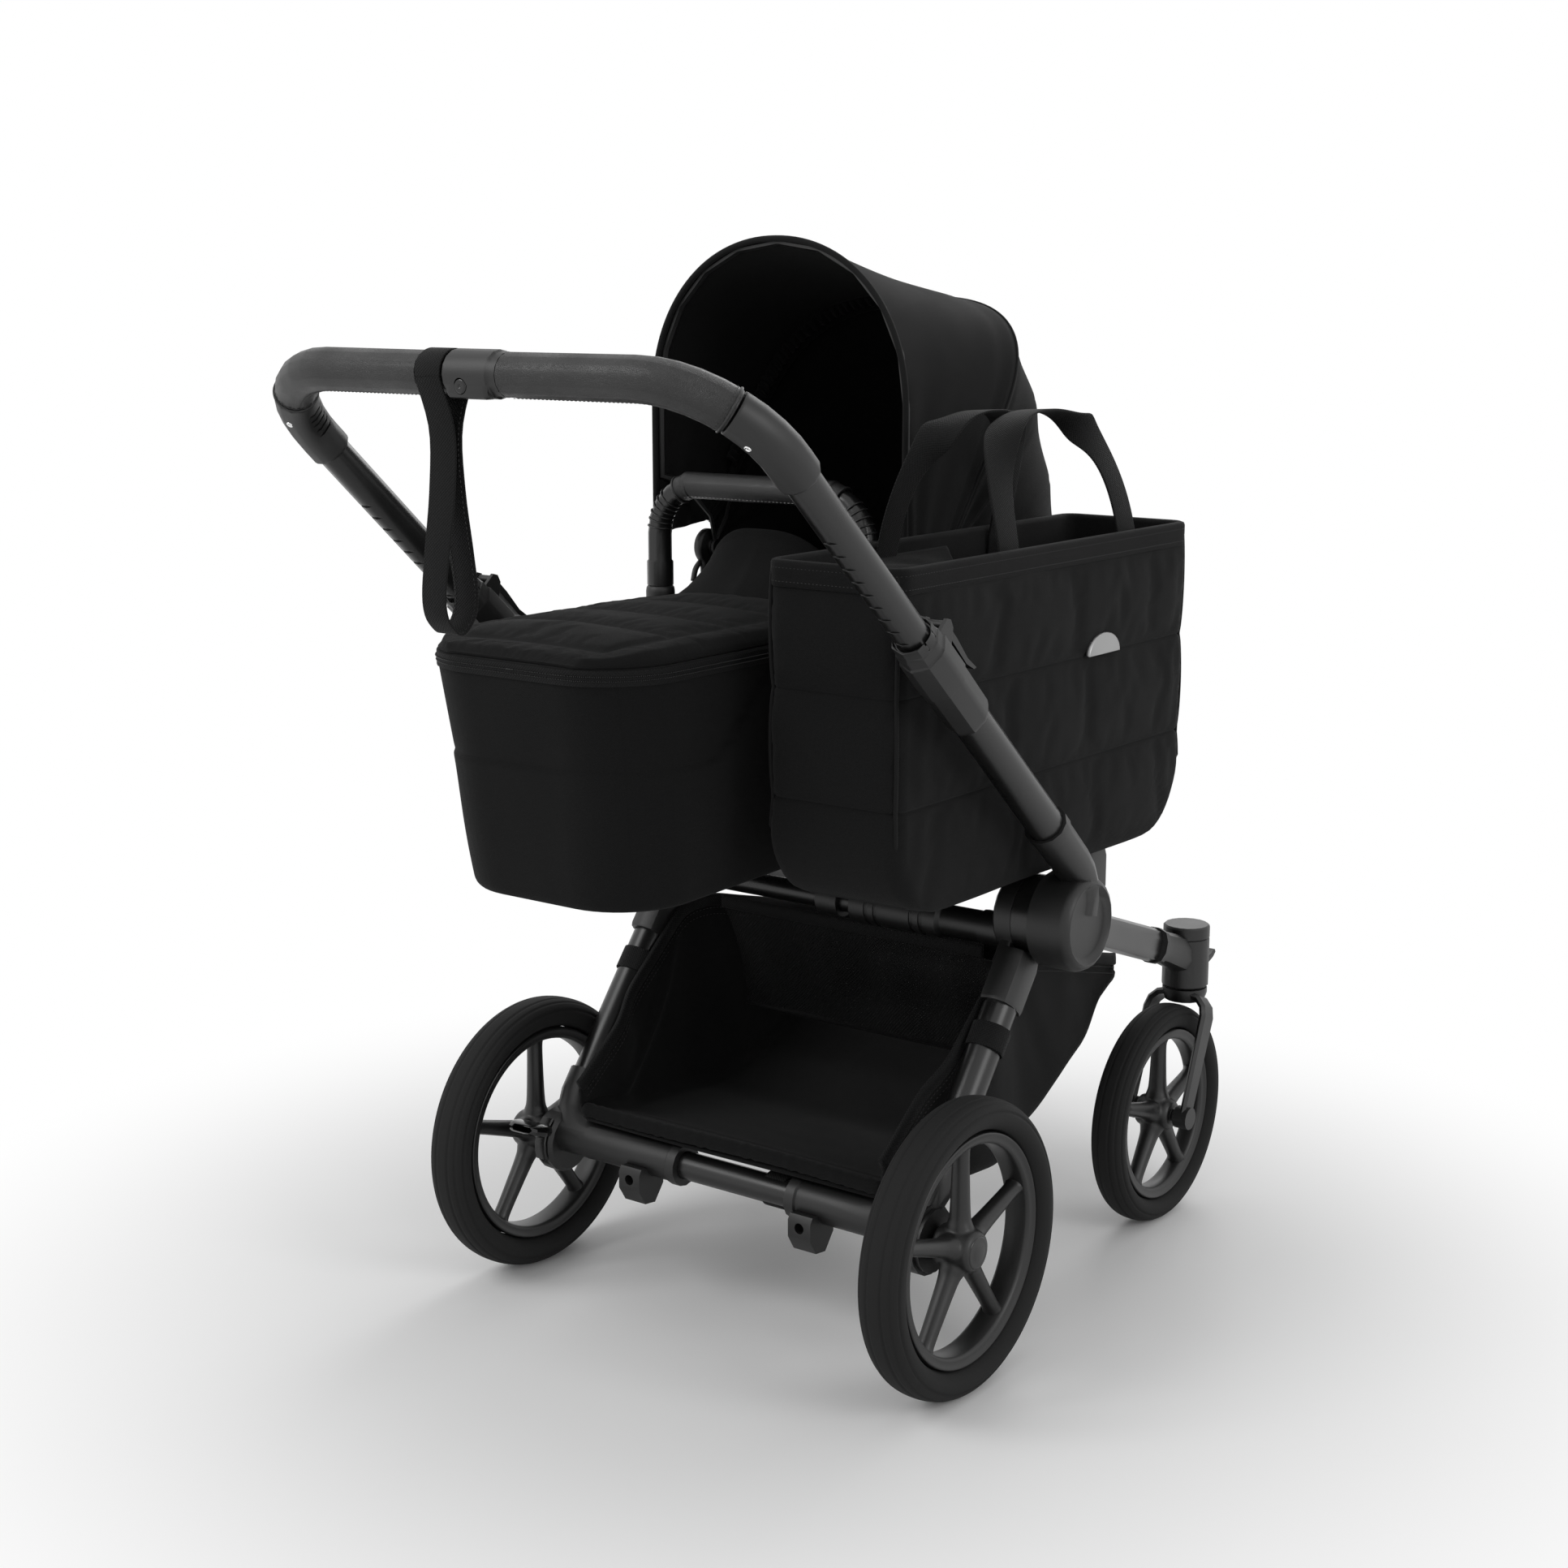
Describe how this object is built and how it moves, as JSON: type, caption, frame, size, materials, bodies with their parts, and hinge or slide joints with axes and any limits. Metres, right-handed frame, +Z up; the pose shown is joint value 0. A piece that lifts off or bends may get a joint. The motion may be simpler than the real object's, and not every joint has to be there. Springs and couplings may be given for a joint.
{
  "type": "pram",
  "caption": "Four-wheeled pram on a folding, widening chassis, carrying a carrycot with a folding canopy beside a tall shopping bag, with a fabric basket below.",
  "frame": {"origin": "on the ground under the middle of the pram", "axes": "+Z up; +Y forwards, the way the pram is pushed; +X to the right of whoever pushes it"},
  "size_m": [0.606, 1.0278, 1.118],
  "materials": {
    "black_anodised": "satin black anodising",
    "black_plastic": "fine matt texture",
    "gloss_plastic": "polished",
    "tyre_rubber": "matt rubber",
    "black_leather": "fine grained",
    "black_canvas": "matt woven",
    "black_net": "open net",
    "black_webbing": "ribbed webbing",
    "cot_lining": "soft brushed"
  },
  "bodies": {
    "chassis": {"rear_leg_left": "black_anodised", "hub_housing_left": "black_plastic", "brake_drum_left": "black_plastic", "axle_inner_tube": "black_anodised", "cross_tube": "black_anodised", "adapter_left": "black_plastic", "adapter_middle": "black_plastic", "basket": "black_canvas", "basket_net": "black_net"},
    "chassis_right": {"rear_leg_right": "black_anodised", "hub_housing_right": "black_plastic", "brake_drum_right": "black_plastic", "cross_sleeve": "black_plastic", "adapter_right": "black_plastic"},
    "handle_left": {"handle_arm_left": "black_plastic", "handle_tube_left": "black_anodised", "clamp_collar_left": "black_plastic"},
    "handle_right": {"handle_arm_right": "black_plastic", "handle_tube_right": "black_anodised", "clamp_collar_right": "black_plastic"},
    "clamp_lever_left": {"clamp_lever_left": "black_plastic"},
    "clamp_lever_right": {"clamp_lever_right": "black_plastic"},
    "bar_left": {"inner_tube_left": "black_anodised", "elbow_left": "black_plastic", "grip_left": "black_leather", "bar_clamp": "black_plastic", "wrist_strap": "black_webbing"},
    "bar_right": {"inner_tube_right": "black_anodised", "elbow_right": "black_plastic", "grip_right": "black_leather"},
    "bar_button": {"bar_button": "gloss_plastic"},
    "front_leg_left": {"front_leg_left": "black_anodised", "front_head_left": "black_plastic"},
    "front_leg_right": {"front_leg_right": "black_anodised", "front_head_right": "black_plastic"},
    "swivel_tab_left": {"swivel_tab_left": "black_plastic"},
    "swivel_tab_right": {"swivel_tab_right": "black_plastic"},
    "fork_left": {"fork_left": "black_plastic"},
    "fork_right": {"fork_right": "black_plastic"},
    "front_wheel_left": {"front_rim_left": "black_plastic", "front_tyre_left": "tyre_rubber"},
    "front_wheel_right": {"front_rim_right": "black_plastic", "front_tyre_right": "tyre_rubber"},
    "rear_wheel_left": {"rear_rim_left": "black_plastic", "rear_tyre_left": "tyre_rubber"},
    "rear_wheel_right": {"rear_rim_right": "black_plastic", "rear_tyre_right": "tyre_rubber"},
    "brake_pedal": {"brake_pedal": "gloss_plastic"},
    "cot": {"cot_tub": "black_canvas", "mattress": "cot_lining", "apron": "black_canvas", "canopy_back": "black_canvas"},
    "carry_grip": {"carry_handle": "black_leather"},
    "canopy_second": {"canopy_second_hoop": "black_plastic", "canopy_front": "black_canvas"},
    "canopy_front": {"canopy_front_hoop": "black_plastic"},
    "bag": {"bag": "black_canvas", "bag_loop_inner": "black_webbing", "bag_loop_outer": "black_webbing"}
  },
  "joints": [
    {"name": "width", "type": "slide", "parent": "chassis", "child": "chassis_right", "axis": [1, 0, 0], "range_m": [0, 0.14]},
    {"name": "handle_fold_left", "type": "hinge", "parent": "chassis", "child": "handle_left", "pos_m": [-0.27995, 0.06748, 0.435], "axis": [-1, 0, 0], "range_deg": [0, 150], "deforming": ["wrist_strap"]},
    {"name": "handle_fold_right", "type": "hinge", "parent": "chassis_right", "child": "handle_right", "pos_m": [0.27995, 0.06748, 0.435], "axis": [-1, 0, 0], "range_deg": [0, 150]},
    {"name": "front_leg_fold_left", "type": "hinge", "parent": "chassis", "child": "front_leg_left", "pos_m": [-0.2306, 0.06748, 0.435], "axis": [-1, 0, 0], "range_deg": [0, 20]},
    {"name": "front_leg_fold_right", "type": "hinge", "parent": "chassis_right", "child": "front_leg_right", "pos_m": [0.2306, 0.06748, 0.435], "axis": [-1, 0, 0], "range_deg": [0, 20]},
    {"name": "bar_height_left", "type": "slide", "parent": "handle_left", "child": "bar_left", "axis": [0, 0.7431, -0.6691], "range_m": [0, 0.12], "deforming": ["wrist_strap"]},
    {"name": "bar_height_right", "type": "slide", "parent": "handle_right", "child": "bar_right", "axis": [0, 0.7431, -0.6691], "range_m": [0, 0.12]},
    {"name": "clamp_lever_turn_left", "type": "hinge", "parent": "handle_left", "child": "clamp_lever_left", "pos_m": [-0.27995, -0.19387, 0.77017], "axis": [1, 0, 0], "range_deg": [0, 60]},
    {"name": "clamp_lever_turn_right", "type": "hinge", "parent": "handle_right", "child": "clamp_lever_right", "pos_m": [0.27995, -0.19387, 0.77017], "axis": [1, 0, 0], "range_deg": [0, 60]},
    {"name": "bar_button_press", "type": "slide", "parent": "bar_left", "child": "bar_button", "axis": [0, 1, 0], "range_m": [0, 0.003], "stiffness_N_per_m": 800, "springref_m": -0.002},
    {"name": "swivel_tab_turn_left", "type": "hinge", "parent": "front_leg_left", "child": "swivel_tab_left", "pos_m": [-0.2143, 0.47698, 0.2895], "axis": [1, 0, 0], "range_deg": [0, 25]},
    {"name": "swivel_tab_turn_right", "type": "hinge", "parent": "front_leg_right", "child": "swivel_tab_right", "pos_m": [0.2143, 0.47698, 0.2895], "axis": [1, 0, 0], "range_deg": [0, 25]},
    {"name": "caster_swivel_left", "type": "hinge", "parent": "front_leg_left", "child": "fork_left", "pos_m": [-0.2143, 0.44548, 0.2675], "axis": [0, 0, 1], "continuous": true},
    {"name": "caster_swivel_right", "type": "hinge", "parent": "front_leg_right", "child": "fork_right", "pos_m": [0.2143, 0.44548, 0.2675], "axis": [0, 0, 1], "continuous": true},
    {"name": "front_wheel_spin_left", "type": "hinge", "parent": "fork_left", "child": "front_wheel_left", "pos_m": [-0.2143, 0.38648, 0.1274], "axis": [1, 0, 0], "continuous": true},
    {"name": "front_wheel_spin_right", "type": "hinge", "parent": "fork_right", "child": "front_wheel_right", "pos_m": [0.2143, 0.38648, 0.1274], "axis": [1, 0, 0], "continuous": true},
    {"name": "rear_wheel_spin_left", "type": "hinge", "parent": "chassis", "child": "rear_wheel_left", "pos_m": [-0.279, -0.13752, 0.15], "axis": [1, 0, 0], "continuous": true},
    {"name": "rear_wheel_spin_right", "type": "hinge", "parent": "chassis_right", "child": "rear_wheel_right", "pos_m": [0.279, -0.13752, 0.15], "axis": [1, 0, 0], "continuous": true},
    {"name": "brake_pedal_turn", "type": "hinge", "parent": "chassis", "child": "brake_pedal", "pos_m": [-0.226, -0.13752, 0.15], "axis": [1, 0, 0], "range_deg": [0, 25]},
    {"name": "cot_lift", "type": "slide", "parent": "chassis", "child": "cot", "axis": [0, 0, 1], "range_m": [0, 0.25]},
    {"name": "carry_grip_lift", "type": "slide", "parent": "cot", "child": "carry_grip", "axis": [0, 0, 1], "range_m": [0, 0.1]},
    {"name": "canopy_second_fold", "type": "hinge", "parent": "cot", "child": "canopy_second", "pos_m": [-0.085, 0.11948, 0.78], "axis": [-1, 0, 0], "range_deg": [0, 30], "deforming": ["canopy_back", "canopy_front"]},
    {"name": "canopy_front_fold", "type": "hinge", "parent": "canopy_second", "child": "canopy_front", "pos_m": [-0.085, 0.11948, 0.78], "axis": [-1, 0, 0], "range_deg": [0, 36], "deforming": ["canopy_front"]},
    {"name": "bag_lift", "type": "slide", "parent": "chassis_right", "child": "bag", "axis": [0, 0, 1], "range_m": [0, 0.25]}
  ],
  "couplings": [
    {"joint": "handle_fold_right", "follows": "handle_fold_left", "ratio": 1},
    {"joint": "front_leg_fold_left", "follows": "handle_fold_left", "ratio": 0.1333},
    {"joint": "front_leg_fold_right", "follows": "handle_fold_left", "ratio": 0.1333},
    {"joint": "bar_height_right", "follows": "bar_height_left", "ratio": 1},
    {"joint": "canopy_front_fold", "follows": "canopy_second_fold", "ratio": 1.2}
  ]
}
